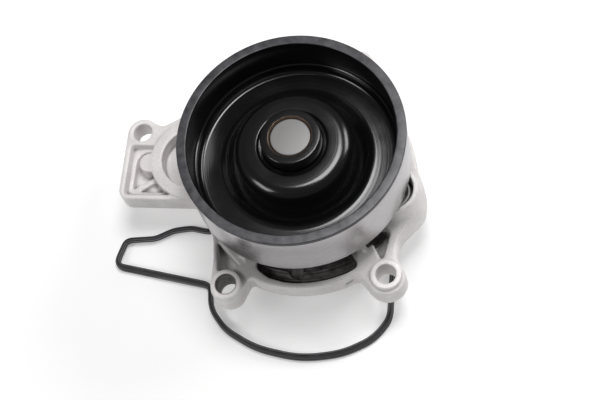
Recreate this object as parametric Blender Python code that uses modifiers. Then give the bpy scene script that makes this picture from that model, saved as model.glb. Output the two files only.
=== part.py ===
"""Belt-driven coolant pump: cast housing, cup pulley on a shaft bearing, face seal, impeller and gasket.

Frame: +Z runs up the shaft towards the pulley. The origin is on the shaft's axis, on the plane that the
impeller and the loose gasket stand on. The flange's arm reaches out towards -X.
"""

import math

import bmesh
import bpy
from mathutils import Vector

MM = 0.001

# Clearances
SEAT_GAP = 0.3 * MM  # between two pieces that are pressed or rest together
RUNNING_GAP = 0.8 * MM  # between the hub and the housing it turns over
ROLLING_GAP = 0.3 * MM  # between balls or rollers and the races and cages they run in
BELT_ROOM = 4.2 * MM  # from the side boss up to the pulley's lower edge

# Heights along the shaft
IMPELLER_DEPTH = 17.0 * MM  # how far the impeller side stands out of the mounting face
FLANGE_THICKNESS = 11.0 * MM
FLANGE_TO_PULLEY = 13.2 * MM
LUG_RAISE = 1.0 * MM

# Cup pulley
PULLEY_RADIUS = 50.0 * MM
PULLEY_WIDTH = 28.8 * MM
PULLEY_RIM = 4.4 * MM
PULLEY_SHEET = 3.0 * MM
PULLEY_WEB_DEPTH = 22.0 * MM
PULLEY_STEP_DEPTH = 17.0 * MM
PLATEAU_DEPTH = 6.5 * MM
RIM_CHAMFER = 0.6 * MM

# Hub, shaft and shaft bearing
HUB_WALL = 4.2 * MM
HUB_FLANGE = 2.6 * MM
SHAFT_RADIUS = 8.8 * MM
SHAFT_END_DEPTH = 0.8 * MM
SHAFT_CHAMFER = 0.6 * MM
BEARING_WALL = 2.9 * MM
BALL_RADIUS = 2.9 * MM
BALL_COUNT = 9
RACE_DEPTH = 0.4 * MM
ROLLER_LENGTH = 10.0 * MM
ROLLER_COUNT = 10
CAGE_WALL = 1.6 * MM
CAGE_RAIL = 1.3 * MM
BEARING_SEAL = 1.4 * MM
NECK_WALL = 4.2 * MM

# Face seal and slinger
SEAL_BOSS_DEPTH = 5.0 * MM  # how far the seal's boss hangs below the mounting face
SEAL_SHEET = 0.5 * MM
CARBON_HEIGHT = 2.0 * MM
SPRING_WIRE = 1.1 * MM
SPRING_TURNS = 3.5
SLINGER_SHEET = 0.8 * MM

# Impeller
IMPELLER_RADIUS = 26.0 * MM
IMPELLER_DISC = 2.2 * MM
IMPELLER_INSERT_WALL = 2.2 * MM
IMPELLER_HUB_WALL = 2.5 * MM
VANE_COUNT = 7
VANE_THICKNESS = 1.8 * MM
VANE_SWEEP = math.radians(48)

# Flange
FLANGE_RADIUS = 54.0 * MM
FRONT_WALL = 2.0 * MM
BOLT_CIRCLE = 61.4 * MM
BOLT_HOLE_RADIUS = 4.5 * MM
LUG_RADIUS = 7.5 * MM
LUG_ANGLES = (-119.5, -49.2, 70.0, 127.0)
POCKET_FLOOR = 5.0 * MM  # metal left between a pocket's floor and the mounting face

# Arm: its ear hole, its low edge, and the round boss on it
EAR_X, EAR_Y, EAR_RADIUS = -80.4 * MM, 22.0 * MM, 7.3 * MM
ARM_LOW_EDGE = -12.5 * MM
ARM_BOSS_X, ARM_BOSS_Y, ARM_BOSS_RADIUS = -53.6 * MM, 8.6 * MM, 20.5 * MM
ARM_BUMP_RADIUS = 5.0 * MM
ARM_BOSS_RAISE = 1.5 * MM
ARM_BOSS_WALL = 5.6 * MM
ARM_RIM = 2.5 * MM
ARM_LEDGE_DEPTH = 2.2 * MM
ARM_WINDOW_DEPTH = 5.4 * MM

# Side boss on the right of the flange
SIDE_BOSS_X, SIDE_BOSS_Y, SIDE_BOSS_RADIUS = 43.0 * MM, -8.0 * MM, 12.0 * MM
SIDE_BOSS_WALL = 3.4 * MM
SIDE_BOSS_DEPTH = 10.0 * MM

# Gasket and its groove
GASKET_WIDTH = 2.6 * MM
GASKET_HEIGHT = 4.4 * MM
GROOVE_RADIUS = 46.0 * MM
GROOVE_DEPTH = 3.0 * MM
CHAMBER_DEPTH = 1.5 * MM

# Worked out from the sizes above
mount_z = IMPELLER_DEPTH
flange_z = mount_z + FLANGE_THICKNESS
lug_z = flange_z + LUG_RAISE
pocket_z = mount_z + POCKET_FLOOR
pulley_low = flange_z + FLANGE_TO_PULLEY
rim_z = pulley_low + PULLEY_WIDTH
web_z = rim_z - PULLEY_WEB_DEPTH
plateau_z = rim_z - PLATEAU_DEPTH
plateau_under = plateau_z - PULLEY_SHEET
hub_flange_top = plateau_under - SEAT_GAP
hub_low = hub_flange_top - HUB_FLANGE
neck_top = hub_low - RUNNING_GAP
race_radius = SHAFT_RADIUS + 2 * BALL_RADIUS  # inside of the bearing's outer ring
pitch_radius = SHAFT_RADIUS + BALL_RADIUS
bearing_radius = race_radius + BEARING_WALL
neck_radius = bearing_radius + SEAT_GAP + NECK_WALL
cone_top_radius = neck_radius + 5.0 * MM
cone_foot_radius = cone_top_radius + 4.0 * MM
neck_foot_radius = neck_radius + 4.5 * MM
journal_radius = SHAFT_RADIUS + SEAT_GAP
hub_radius = journal_radius + HUB_WALL
seal_low = mount_z - SEAL_BOSS_DEPTH
seal_high = mount_z + SEAL_BOSS_DEPTH - 2.0 * MM
seal_bore_radius = bearing_radius - 0.5 * MM
drip_radius = race_radius
bearing_low = seal_high + 2.5 * MM + SEAT_GAP
bearing_high = neck_top - SEAT_GAP
disc_high = seal_low - 3.0 * MM
disc_low = disc_high - IMPELLER_DISC


def clear_scene():
    for old in list(bpy.data.objects):
        bpy.data.objects.remove(old)


def new_collection(name):
    collection = bpy.data.collections.new(name)
    bpy.context.scene.collection.children.link(collection)
    return collection


clear_scene()
PARTS = new_collection("water_pump")
CUTTERS = new_collection("cutters")


def paint(obj, colour, metallic, roughness):
    """Give the object its own plain material."""
    material = bpy.data.materials.new(obj.name)
    material.use_nodes = True
    shader = material.node_tree.nodes["Principled BSDF"]
    shader.inputs["Base Color"].default_value = (*colour, 1.0)
    shader.inputs["Metallic"].default_value = metallic
    shader.inputs["Roughness"].default_value = roughness
    obj.data.materials.clear()
    obj.data.materials.append(material)
    return obj


def add(name, mesh, helper=False):
    """Put a mesh in the scene, as a part or as a hidden cutter."""
    obj = bpy.data.objects.new(name, mesh)
    (CUTTERS if helper else PARTS).objects.link(obj)
    if helper:
        obj.hide_render = True
        obj.display_type = "WIRE"
    return obj


def mesh_from(bm, name):
    mesh = bpy.data.meshes.new(name)
    bmesh.ops.recalc_face_normals(bm, faces=bm.faces)
    bm.to_mesh(mesh)
    bm.free()
    mesh.shade_smooth()
    mesh.set_sharp_from_angle(angle=math.radians(35))
    return mesh


def turned(name, profile, steps, centre=(0, 0), helper=False):
    """A shape turned about a vertical axis from (radius, height) points that go round its section."""
    area = sum(
        a[0] * b[1] - b[0] * a[1] for a, b in zip(profile, profile[1:] + profile[:1])
    )
    if area > 0:
        profile = profile[::-1]
    on_axis = [i for i, point in enumerate(profile) if point[0] < 1e-9]
    if on_axis:
        # start from the upper of the two points on the axis
        top = max(on_axis, key=lambda i: profile[i][1])
        profile = profile[top:] + profile[:top]
    bm = bmesh.new()
    points = [bm.verts.new((radius, 0, height)) for radius, height in profile]
    for a, b in zip(points, points[1:]):
        bm.edges.new((a, b))
    if not on_axis:
        bm.edges.new((points[-1], points[0]))
    mesh = bpy.data.meshes.new(name)
    bm.to_mesh(mesh)
    bm.free()
    obj = add(name, mesh, helper)
    obj.location = (*centre, 0)
    screw = obj.modifiers.new("turn", "SCREW")
    screw.axis = "Z"
    screw.steps = screw.render_steps = steps
    screw.use_merge_vertices = True
    screw.merge_threshold = 0.00002
    screw.use_smooth_shade = True
    return obj


def post(name, centre, radius, low, high, sides=24, helper=False, top_radius=None):
    """A round post standing between two heights."""
    bm = bmesh.new()
    bmesh.ops.create_cone(
        bm,
        cap_ends=True,
        segments=sides,
        radius1=radius,
        radius2=radius if top_radius is None else top_radius,
        depth=high - low,
    )
    obj = add(name, mesh_from(bm, name), helper)
    obj.location = (*centre, (low + high) / 2)
    return obj


def plate(name, loops, low, high, helper=False):
    """A flat plate between two heights; loops are its outline and any holes."""
    curve = bpy.data.curves.new(name, "CURVE")
    curve.dimensions = "2D"
    curve.fill_mode = "BOTH"
    curve.extrude = (high - low) / 2
    for loop in loops:
        spline = curve.splines.new("POLY")
        spline.points.add(len(loop) - 1)
        spline.points.foreach_set("co", [v for x, y in loop for v in (x, y, 0, 1)])
        spline.use_cyclic_u = True
    drawn = bpy.data.objects.new(name + "_outline", curve)
    CUTTERS.objects.link(drawn)
    bpy.context.view_layer.update()
    filled = bpy.data.meshes.new_from_object(
        drawn.evaluated_get(bpy.context.evaluated_depsgraph_get())
    )
    bpy.data.objects.remove(drawn)
    bm = bmesh.new()
    bm.from_mesh(filled)
    bmesh.ops.remove_doubles(bm, verts=bm.verts, dist=0.00001)
    obj = add(name, mesh_from(bm, name), helper)
    obj.location.z = (low + high) / 2
    return obj


def boolean(target, operation, other):
    modifier = target.modifiers.new(other.name, "BOOLEAN")
    modifier.operation = operation
    modifier.object = other
    modifier.solver = "EXACT"


def cut(target, *cutters):
    for cutter in cutters:
        boolean(target, "DIFFERENCE", cutter)


def join(target, *pieces):
    for piece in pieces:
        boolean(target, "UNION", piece)


def polar(radius, degrees):
    angle = math.radians(degrees)
    return radius * math.cos(angle), radius * math.sin(angle)


def arc(centre, radius, start, end, step=12.0):
    """Corners along a circular arc, from start to end in degrees."""
    count = max(2, math.ceil(abs(end - start) / step))
    angles = [start + (end - start) * i / count for i in range(count + 1)]
    spots = [polar(radius, angle) for angle in angles]
    return [(centre[0] + x, centre[1] + y, 0) for x, y in spots]


def rounded(corners, step=24.0):
    """An outline through (x, y, radius) corners, each rounded by an arc that touches its two sides."""
    points = []
    for i, (x, y, radius) in enumerate(corners):
        here = Vector((x, y))
        if radius == 0:
            points.append((x, y))
            continue
        back = Vector(corners[i - 1][:2]) - here
        ahead = Vector(corners[(i + 1) % len(corners)][:2]) - here
        half = back.angle(ahead) / 2
        reach = min(
            radius / math.tan(half), 0.49 * back.length, 0.49 * ahead.length
        )
        radius = reach * math.tan(half)
        middle = here + (back.normalized() + ahead.normalized()).normalized() * (
            radius / math.sin(half)
        )
        first = here + back.normalized() * reach - middle
        turn = math.pi - 2 * half
        if back.cross(ahead) > 0:
            turn = -turn
        count = max(1, math.ceil(abs(math.degrees(turn)) / step))
        for j in range(count + 1):
            angle = math.atan2(first.y, first.x) + turn * j / count
            points.append(
                (middle.x + radius * math.cos(angle), middle.y + radius * math.sin(angle))
            )
    return points


def offset(points, distance):
    """A closed outline moved sideways by a distance, to its right as it runs."""
    moved = []
    for i, (x, y) in enumerate(points):
        before = Vector(points[i - 1])
        after = Vector(points[(i + 1) % len(points)])
        along = (after - before).normalized()
        moved.append((x + along.y * distance, y - along.x * distance))
    return moved


def sector(inner, outer, start, end, radius):
    """The outline of a piece of a ring, with rounded corners."""
    far = arc((0, 0), outer, start, end)
    near = arc((0, 0), inner, end, start)
    corners = [
        (x, y, radius if i in (0, len(side) - 1) else 0)
        for side in (far, near)
        for i, (x, y, _) in enumerate(side)
    ]
    return rounded(corners)


def lug_centre(index):
    return polar(BOLT_CIRCLE, LUG_ANGLES[index])


def flange_outline():
    """Counter-clockwise from the ear: arm, left lug, front wall, right lug, side bulge, two rear lugs."""
    left, right, rear_right, rear_left = LUG_ANGLES
    arm_left = EAR_X - EAR_RADIUS
    left_x, left_y = lug_centre(0)
    right_x, right_y = lug_centre(1)
    big_lug = LUG_RADIUS + 1.2 * MM
    side = FLANGE_RADIUS - 3.7 * MM
    neck = FLANGE_RADIUS - 0.6 * MM
    return rounded(
        arc((EAR_X, EAR_Y), EAR_RADIUS, 55, 180)
        + [
            (arm_left, ARM_LOW_EDGE, 5 * MM),
            (-side, ARM_LOW_EDGE, 4 * MM),
            (*polar(side, left - 38), 12 * MM),
            (*polar(side - 0.4 * MM, left - 22.8), 14 * MM),
            (left_x - LUG_RADIUS - 0.2 * MM, left_y + 12 * MM, 14 * MM),
        ]
        + arc(lug_centre(0), LUG_RADIUS, 180, 325, 14)
        + [(*polar(neck, left + 6.5), 4 * MM)]
        + arc((0, 0), FLANGE_RADIUS, left + 12, right - 16.5)
        + [(*polar(neck, right - 9.5), 4 * MM)]
        + arc(lug_centre(1), big_lug, 225, 365, 14)
        + [
            (right_x + 4.6 * MM, right_y + 9.5 * MM, 6 * MM),
            (right_x + 4.6 * MM, right_y + 17.5 * MM, 5 * MM),
            (SIDE_BOSS_X + 7.5 * MM, SIDE_BOSS_Y - 20 * MM, 6 * MM),
            (SIDE_BOSS_X + 13 * MM, SIDE_BOSS_Y - 10 * MM, 10 * MM),
            (SIDE_BOSS_X + 11 * MM, SIDE_BOSS_Y + 6 * MM, 14 * MM),
        ]
        + arc((0, 0), FLANGE_RADIUS - 2 * MM, 9, rear_right - 16)
        + [(*polar(neck - 1.5 * MM, rear_right - 9.5), 4 * MM)]
        + arc(lug_centre(2), LUG_RADIUS, rear_right - 85, rear_right + 85, 14)
        + [(*polar(neck, rear_right + 9.5), 4 * MM)]
        + arc((0, 0), FLANGE_RADIUS, rear_right + 15, rear_left - 15)
        + [(*polar(neck, rear_left - 9.5), 4 * MM)]
        + arc(lug_centre(3), LUG_RADIUS, rear_left - 85, rear_left + 85, 14)
        + [
            (*polar(neck, rear_left + 9.5), 4 * MM),
            (EAR_X + 25.4 * MM, EAR_Y + 13 * MM, 12 * MM),
            (EAR_X + 17.9 * MM, EAR_Y + 8.5 * MM, 8 * MM),
            (EAR_X + 9.4 * MM, EAR_Y + 3.2 * MM, 6 * MM),
        ]
    )


def groove_path():
    """Centre line of the gasket's groove: a circle round the pump chamber and a tab under the arm."""
    tab_left = EAR_X - 3.1 * MM
    tab_top = EAR_Y - BOLT_HOLE_RADIUS - 5.5 * MM
    tab_low = ARM_LOW_EDGE + 4.0 * MM
    return rounded(
        arc((0, 0), GROOVE_RADIUS, -168, 163)
        + [(tab_left, tab_top, 4 * MM), (tab_left, tab_low, 4 * MM)]
    )


def casting_posts():
    """Raised rings and bosses that stand up from the flange."""
    rings = []
    for index in range(len(LUG_ANGLES)):
        radius = LUG_RADIUS - 0.5 * MM
        rings.append(post(f"lug_ring_{index}", lug_centre(index), radius, mount_z + MM, lug_z, helper=True))
    side_top = pulley_low - BELT_ROOM
    side_boss = post(
        "side_boss",
        (SIDE_BOSS_X, SIDE_BOSS_Y),
        SIDE_BOSS_RADIUS + 2 * MM,
        mount_z + MM,
        side_top,
        helper=True,
        top_radius=SIDE_BOSS_RADIUS,
    )
    return [*rings, side_boss]


def gusset(degrees):
    """A rib from the neck down to the flange."""
    foot = FLANGE_RADIUS - 7 * MM
    side = [
        (neck_radius - 3 * MM, pocket_z - MM),
        (foot, pocket_z - MM),
        (foot, flange_z),
        (neck_foot_radius, flange_z + 11 * MM),
        (neck_radius - 3 * MM, flange_z + 15 * MM),
    ]
    rib = plate(f"gusset_{degrees}", [side], -1.5 * MM, 1.5 * MM, helper=True)
    rib.location = (0, 0, 0)
    rib.rotation_euler = (math.pi / 2, 0, math.radians(degrees))
    return rib


def pump_housing():
    """The aluminium casting: flange, arm, bearing neck, bosses, pockets and bores."""
    housing = plate("pump_housing", [flange_outline()], mount_z, flange_z)
    top = flange_z + 3 * MM
    left, right, rear_right, rear_left = LUG_ANGLES
    gusset_angles = (left - 2, right - 3, right + 20, rear_right - 5, rear_left - 5, left - 42)
    inner, outer = neck_foot_radius - MM, FLANGE_RADIUS - FRONT_WALL
    left_x, left_y = lug_centre(0)
    right_x, right_y = lug_centre(1)
    trough = rounded(
        [
            (*polar(inner, left + 7), 3 * MM),
            (*polar(outer - 3.5 * MM, left + 6), 4 * MM),
            (*polar(outer - 0.6 * MM, left + 15), 12 * MM),
        ]
        + arc((0, 0), outer, left + 24, right - 14)
        + [(*polar(outer - 0.3 * MM, right - 6.5), 4 * MM)]
        + arc((0, 0), inner, right - 8, left + 20)
    )
    pockets = [
        trough,
        sector(inner, GROOVE_RADIUS + MM, right + 1.5, right + 15, 2 * MM),
        sector(inner, GROOVE_RADIUS, rear_right - 54, rear_right - 12, 3 * MM),
        sector(inner, outer - 2 * MM, rear_right + 12, rear_left - 12, 3 * MM),
        sector(inner, GROOVE_RADIUS - 2 * MM, left - 36, left - 12, 3 * MM),
    ]
    left_window = rounded(
        [
            (left_x - 6.9 * MM, left_y + 21.8 * MM, MM),
            (left_x - 5.5 * MM, left_y + 6.7 * MM, MM),
            (left_x + 3.1 * MM, left_y + 6.9 * MM, 1.5 * MM),
            (left_x + 4.9 * MM, left_y + 9.9 * MM, 1.5 * MM),
        ]
    )
    right_window = rounded(
        [
            (right_x - 3.2 * MM, right_y + 14.8 * MM, MM),
            (right_x - 2.6 * MM, right_y + 8.3 * MM, 1.2 * MM),
            (right_x + 1.3 * MM, right_y + 18.2 * MM, MM),
        ]
    )
    for index, outline in enumerate([*pockets, left_window, right_window]):
        cut(housing, plate(f"pocket_{index}", [outline], pocket_z, top, helper=True))

    # arm: a shallow ledge, a deeper window in it, then the round boss, its bump and a slanting rib
    ledge_left = EAR_X - EAR_RADIUS + ARM_RIM
    ledge_low = ARM_LOW_EDGE + 2 * MM
    ledge_high = EAR_Y - BOLT_HOLE_RADIUS - 2 * MM
    ledge = rounded(
        [
            (ledge_left, ledge_low, 2 * MM),
            (ARM_BOSS_X, ledge_low, MM),
            (ARM_BOSS_X, ledge_high, MM),
            (ledge_left, ledge_high, 2 * MM),
        ]
    )
    window_left = ledge_left + 4 * MM
    window_low = ledge_low + 2.7 * MM
    window = rounded(
        [
            (window_left, window_low, MM),
            (ARM_BOSS_X, window_low, MM),
            (ARM_BOSS_X, ARM_BOSS_Y, MM),
            (window_left, ARM_BOSS_Y, MM),
        ]
    )
    cut(
        housing,
        plate("arm_ledge", [ledge], flange_z - ARM_LEDGE_DEPTH, top, helper=True),
        plate("arm_window", [window], flange_z - ARM_WINDOW_DEPTH, top, helper=True),
    )
    boss = (ARM_BOSS_X, ARM_BOSS_Y)
    boss_top = flange_z + ARM_BOSS_RAISE
    bump = (ARM_BOSS_X - ARM_BOSS_RADIUS - 0.4 * MM, ARM_BOSS_Y - 3 * MM)
    rib = plate(
        "arm_rib",
        [[(-7 * MM, -1.5 * MM), (7 * MM, -1.5 * MM), (7 * MM, 1.5 * MM), (-7 * MM, 1.5 * MM)]],
        mount_z + MM, flange_z - ARM_LEDGE_DEPTH, helper=True,
    )
    rib.location.x, rib.location.y = window_left + 5.4 * MM, window_low + 4.6 * MM
    rib.rotation_euler.z = math.radians(41)
    neck = turned(
        "neck",
        [
            (0, neck_top),
            (neck_radius - 0.6 * MM, neck_top),
            (neck_radius, neck_top - 0.6 * MM),
            (neck_radius + 0.6 * MM, flange_z + 14 * MM),
            (neck_foot_radius - MM, flange_z + 4 * MM),
            (neck_foot_radius + MM, pocket_z - MM),
            (seal_bore_radius + 3.8 * MM, mount_z + MM),
            (seal_bore_radius + 3.5 * MM, seal_low),
            (0, seal_low),
        ],
        48, helper=True,
    )
    join(
        housing,
        neck,
        post("arm_boss", boss, ARM_BOSS_RADIUS, mount_z + MM, boss_top, 44, helper=True),
        post("arm_bump", bump, ARM_BUMP_RADIUS, mount_z + MM, boss_top, 20, helper=True),
        rib,
        *casting_posts(),
        *[gusset(degrees) for degrees in gusset_angles],
    )

    # recesses, bores and bolt holes
    side_top = pulley_low - BELT_ROOM
    cut(
        housing,
        post("arm_recess", boss, ARM_BOSS_RADIUS - ARM_BOSS_WALL, pocket_z, top, 36, helper=True),
        post(
            "side_recess", (SIDE_BOSS_X, SIDE_BOSS_Y), SIDE_BOSS_RADIUS - SIDE_BOSS_WALL,
            side_top - SIDE_BOSS_DEPTH, side_top + MM, helper=True,
        ),
        turned(
            "bores",
            [
                (0, neck_top + MM),
                (bearing_radius + SEAT_GAP, neck_top + MM),
                (bearing_radius + SEAT_GAP, bearing_low - SEAT_GAP),
                (drip_radius, bearing_low - SEAT_GAP),
                (drip_radius, seal_high),
                (seal_bore_radius, seal_high),
                (seal_bore_radius, seal_low - MM),
                (0, seal_low - MM),
            ],
            48, helper=True,
        ),
        turned(
            "chamber",
            [
                (seal_bore_radius + 4.5 * MM, mount_z + CHAMBER_DEPTH),
                (GROOVE_RADIUS - 4 * MM, mount_z + CHAMBER_DEPTH),
                (GROOVE_RADIUS - 4 * MM, mount_z - MM),
                (seal_bore_radius + 4.5 * MM, mount_z - MM),
            ],
            48, helper=True,
        ),
    )
    path = groove_path()
    half = GASKET_WIDTH / 2 + 0.2 * MM
    groove = [offset(path, half), offset(path, -half)]
    cut(housing, plate("gasket_groove", groove, mount_z - MM, mount_z + GROOVE_DEPTH, helper=True))
    holes = [lug_centre(index) for index in range(len(LUG_ANGLES))] + [(EAR_X, EAR_Y)]
    for index, centre in enumerate(holes):
        cut(housing, post(f"bolt_hole_{index}", centre, BOLT_HOLE_RADIUS, mount_z - MM, top, 20, helper=True))
    slit = plate(
        "drain_slit",
        [[(-3 * MM, -1.8 * MM), (3 * MM, -1.8 * MM), (3 * MM, 1.8 * MM), (-3 * MM, 1.8 * MM)]],
        pocket_z - 0.6 * MM, pocket_z + 0.6 * MM, helper=True,
    )
    slit.location.x, slit.location.y = polar(FLANGE_RADIUS, right - 15)
    slit.rotation_euler.z = math.radians(right - 15)
    cut(housing, slit)
    return paint(housing, (0.72, 0.71, 0.70), 0.6, 0.5)


def pulley():
    """A pressed steel cup: belt wall, web, cone and a flat plateau round the hub."""
    outer = PULLEY_RADIUS
    inner = outer - PULLEY_RIM
    step_z = rim_z - PULLEY_STEP_DEPTH
    sheet = PULLEY_SHEET
    profile = [
        (outer - RIM_CHAMFER, rim_z),
        (outer, rim_z - RIM_CHAMFER),
        (outer, pulley_low + RIM_CHAMFER),
        (outer - RIM_CHAMFER, pulley_low),
        (inner + 0.4 * MM, pulley_low),
        (inner + 0.4 * MM, web_z - sheet - 0.5 * MM),
        (inner - 2 * MM, web_z - sheet),
        (cone_foot_radius + MM, web_z - sheet),
        (cone_foot_radius - sheet + 0.6 * MM, web_z - sheet + 2 * MM),
        (cone_top_radius - sheet + 0.6 * MM, plateau_under - 2 * MM),
        (cone_top_radius - sheet - 1.4 * MM, plateau_under),
        (hub_radius + SEAT_GAP, plateau_under),
        (hub_radius + SEAT_GAP, plateau_z),
        (cone_top_radius - MM, plateau_z),
        (cone_top_radius + 0.8 * MM, plateau_z - 1.2 * MM),
        (cone_foot_radius + 0.2 * MM, web_z + 1.4 * MM),
        (cone_foot_radius + 2 * MM, web_z),
        (inner - 5.5 * MM, web_z),
        (inner - 2.6 * MM, web_z + 1.6 * MM),
        (inner - 2.0 * MM, step_z - 1.2 * MM),
        (inner, step_z),
        (inner, rim_z - RIM_CHAMFER),
        (inner + RIM_CHAMFER, rim_z),
    ]
    return paint(turned("pulley", profile, 52), (0.02, 0.02, 0.02), 0.5, 0.3)


def pulley_hub():
    """The thick collar that carries the pulley on the shaft."""
    low_radius = neck_radius - 2 * MM
    profile = [
        (journal_radius + 0.6 * MM, rim_z - 0.3 * MM),
        (hub_radius - 0.6 * MM, rim_z - 0.3 * MM),
        (hub_radius, rim_z - 0.9 * MM),
        (hub_radius, hub_flange_top),
        (low_radius, hub_flange_top),
        (low_radius, hub_low),
        (journal_radius, hub_low),
        (journal_radius, rim_z - 0.9 * MM),
    ]
    return paint(turned("pulley_hub", profile, 32), (0.03, 0.03, 0.03), 0.5, 0.35)


def bearing_heights():
    """Heights of the ball row's and the roller row's middles."""
    cage = BALL_RADIUS + CAGE_RAIL
    ball_z = bearing_high - BEARING_SEAL - cage - 2.6 * MM
    roller_z = bearing_low + BEARING_SEAL + ROLLER_LENGTH / 2 + CAGE_RAIL + 1.6 * MM
    return ball_z, roller_z


def race_groove(centre_z, wall_radius, out):
    """Points of a ball groove in a wall, from low to high: out is 1 in the outer ring, -1 in the shaft."""
    half = 0.55 * BALL_RADIUS
    deep = wall_radius + out * RACE_DEPTH
    return [
        (wall_radius, centre_z - half),
        (deep, centre_z - half / 2),
        (deep, centre_z + half / 2),
        (wall_radius, centre_z + half),
    ]


def shaft():
    ball_z, _ = bearing_heights()
    radius = SHAFT_RADIUS
    top = rim_z - SHAFT_END_DEPTH
    profile = [
        (0, 0),
        (radius - SHAFT_CHAMFER, 0),
        (radius, SHAFT_CHAMFER),
        *race_groove(ball_z, radius, -1),
        (radius, top - SHAFT_CHAMFER),
        (radius - SHAFT_CHAMFER, top),
        (0, top),
    ]
    return paint(turned("shaft", profile, 28), (0.35, 0.35, 0.36), 1.0, 0.3)


def shaft_bearing():
    """The outer ring, its two lip seals, and a row each of balls and rollers in their cages."""
    ball_z, roller_z = bearing_heights()
    ring = turned(
        "bearing_outer_ring",
        [
            (race_radius, bearing_low),
            *race_groove(ball_z, race_radius, 1),
            (race_radius, bearing_high),
            (bearing_radius - 0.5 * MM, bearing_high),
            (bearing_radius, bearing_high - 0.5 * MM),
            (bearing_radius, bearing_low + 0.5 * MM),
            (bearing_radius - 0.5 * MM, bearing_low),
        ],
        32,
    )
    paint(ring, (0.4, 0.4, 0.42), 1.0, 0.3)
    seals = (
        ("front_bearing_seal", bearing_high - BEARING_SEAL - 0.4 * MM),
        ("rear_bearing_seal", bearing_low + 0.4 * MM),
    )
    for name, low in seals:
        seal = turned(
            name,
            [
                (journal_radius, low),
                (journal_radius, low + BEARING_SEAL),
                (race_radius - SEAT_GAP, low + BEARING_SEAL),
                (race_radius - SEAT_GAP, low),
            ],
            28,
        )
        paint(seal, (0.05, 0.05, 0.05), 0.0, 0.6)

    for index in range(BALL_COUNT):
        bm = bmesh.new()
        bmesh.ops.create_uvsphere(bm, u_segments=9, v_segments=6, radius=BALL_RADIUS)
        name = f"bearing_ball_{index + 1}"
        ball = paint(add(name, mesh_from(bm, name)), (0.6, 0.6, 0.62), 1.0, 0.1)
        ball.location = (*polar(pitch_radius, 360 * index / BALL_COUNT), ball_z)
    for index in range(ROLLER_COUNT):
        centre = polar(pitch_radius, 360 * index / ROLLER_COUNT)
        low = roller_z - ROLLER_LENGTH / 2
        radius = BALL_RADIUS - ROLLING_GAP
        roller = post(f"bearing_roller_{index + 1}", centre, radius, low, low + ROLLER_LENGTH, 12)
        paint(roller, (0.6, 0.6, 0.62), 1.0, 0.15)

    cage_inner, cage_outer = pitch_radius - CAGE_WALL / 2, pitch_radius + CAGE_WALL / 2
    ball_hole = BALL_RADIUS + ROLLING_GAP
    ball_cage = turned(
        "ball_cage",
        [
            (cage_inner, ball_z - ball_hole - CAGE_RAIL),
            (cage_inner, ball_z + 0.7 * BALL_RADIUS),
            (cage_outer, ball_z + 0.7 * BALL_RADIUS),
            (cage_outer, ball_z - ball_hole - CAGE_RAIL),
        ],
        36,
    )
    for index in range(BALL_COUNT):
        hole = post(f"ball_hole_{index}", (0, 0), ball_hole, 0, 8 * MM, 12, helper=True)
        degrees = 360 * index / BALL_COUNT
        hole.location = (*polar(pitch_radius, degrees), ball_z)
        hole.rotation_euler = (0, math.pi / 2, math.radians(degrees))
        cut(ball_cage, hole)
    paint(ball_cage, (0.75, 0.72, 0.62), 0.0, 0.5)

    rail = ROLLER_LENGTH / 2 + ROLLING_GAP
    roller_cage = turned(
        "roller_cage",
        [
            (cage_inner, roller_z - rail - CAGE_RAIL),
            (cage_inner, roller_z + rail + CAGE_RAIL),
            (cage_outer, roller_z + rail + CAGE_RAIL),
            (cage_outer, roller_z - rail - CAGE_RAIL),
        ],
        40,
    )
    for index in range(ROLLER_COUNT):
        bm = bmesh.new()
        bmesh.ops.create_cube(bm, size=1)
        bmesh.ops.scale(bm, verts=bm.verts, vec=(8 * MM, 2 * BALL_RADIUS, 2 * rail))
        window = add(f"roller_window_{index}", mesh_from(bm, "roller_window"), helper=True)
        degrees = 360 * index / ROLLER_COUNT
        window.location = (*polar(pitch_radius, degrees), roller_z)
        window.rotation_euler.z = math.radians(degrees)
        cut(roller_cage, window)
    paint(roller_cage, (0.75, 0.72, 0.62), 0.0, 0.5)


def impeller():
    """A moulded disc with swept vanes, pressed on the shaft through a metal insert."""
    insert_radius = journal_radius + IMPELLER_INSERT_WALL
    insert = turned(
        "impeller_insert",
        [
            (journal_radius, 0.2 * MM),
            (journal_radius, disc_high),
            (insert_radius, disc_high),
            (insert_radius, 0.2 * MM),
        ],
        28,
    )
    paint(insert, (0.6, 0.5, 0.3), 1.0, 0.35)
    bore = insert_radius + SEAT_GAP
    hub = bore + IMPELLER_HUB_WALL
    wheel = turned(
        "impeller",
        [
            (bore, 0),
            (bore, disc_high),
            (IMPELLER_RADIUS, disc_high),
            (IMPELLER_RADIUS, disc_low),
            (hub, disc_low),
            (hub, 0),
        ],
        42,
    )
    steps = 5
    radii = [hub - MM + (IMPELLER_RADIUS - hub) * i / steps for i in range(steps + 1)]
    sweep = [VANE_SWEEP * i / steps for i in range(steps + 1)]
    half = VANE_THICKNESS / 2
    for index in range(VANE_COUNT):
        start = 2 * math.pi * index / VANE_COUNT
        line = [Vector((r * math.cos(start + a), r * math.sin(start + a))) for r, a in zip(radii, sweep)]
        sides = ([], [])
        for i, point in enumerate(line):
            along = (line[min(i + 1, steps)] - line[max(i - 1, 0)]).normalized()
            across = Vector((along.y, -along.x)) * half
            sides[0].append(tuple(point + across))
            sides[1].append(tuple(point - across))
        outline = sides[0] + sides[1][::-1]
        join(wheel, plate(f"vane_{index}", [outline], 0, disc_low + 0.5 * IMPELLER_DISC, helper=True))
    paint(wheel, (0.06, 0.06, 0.06), 0.0, 0.5)


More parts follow.
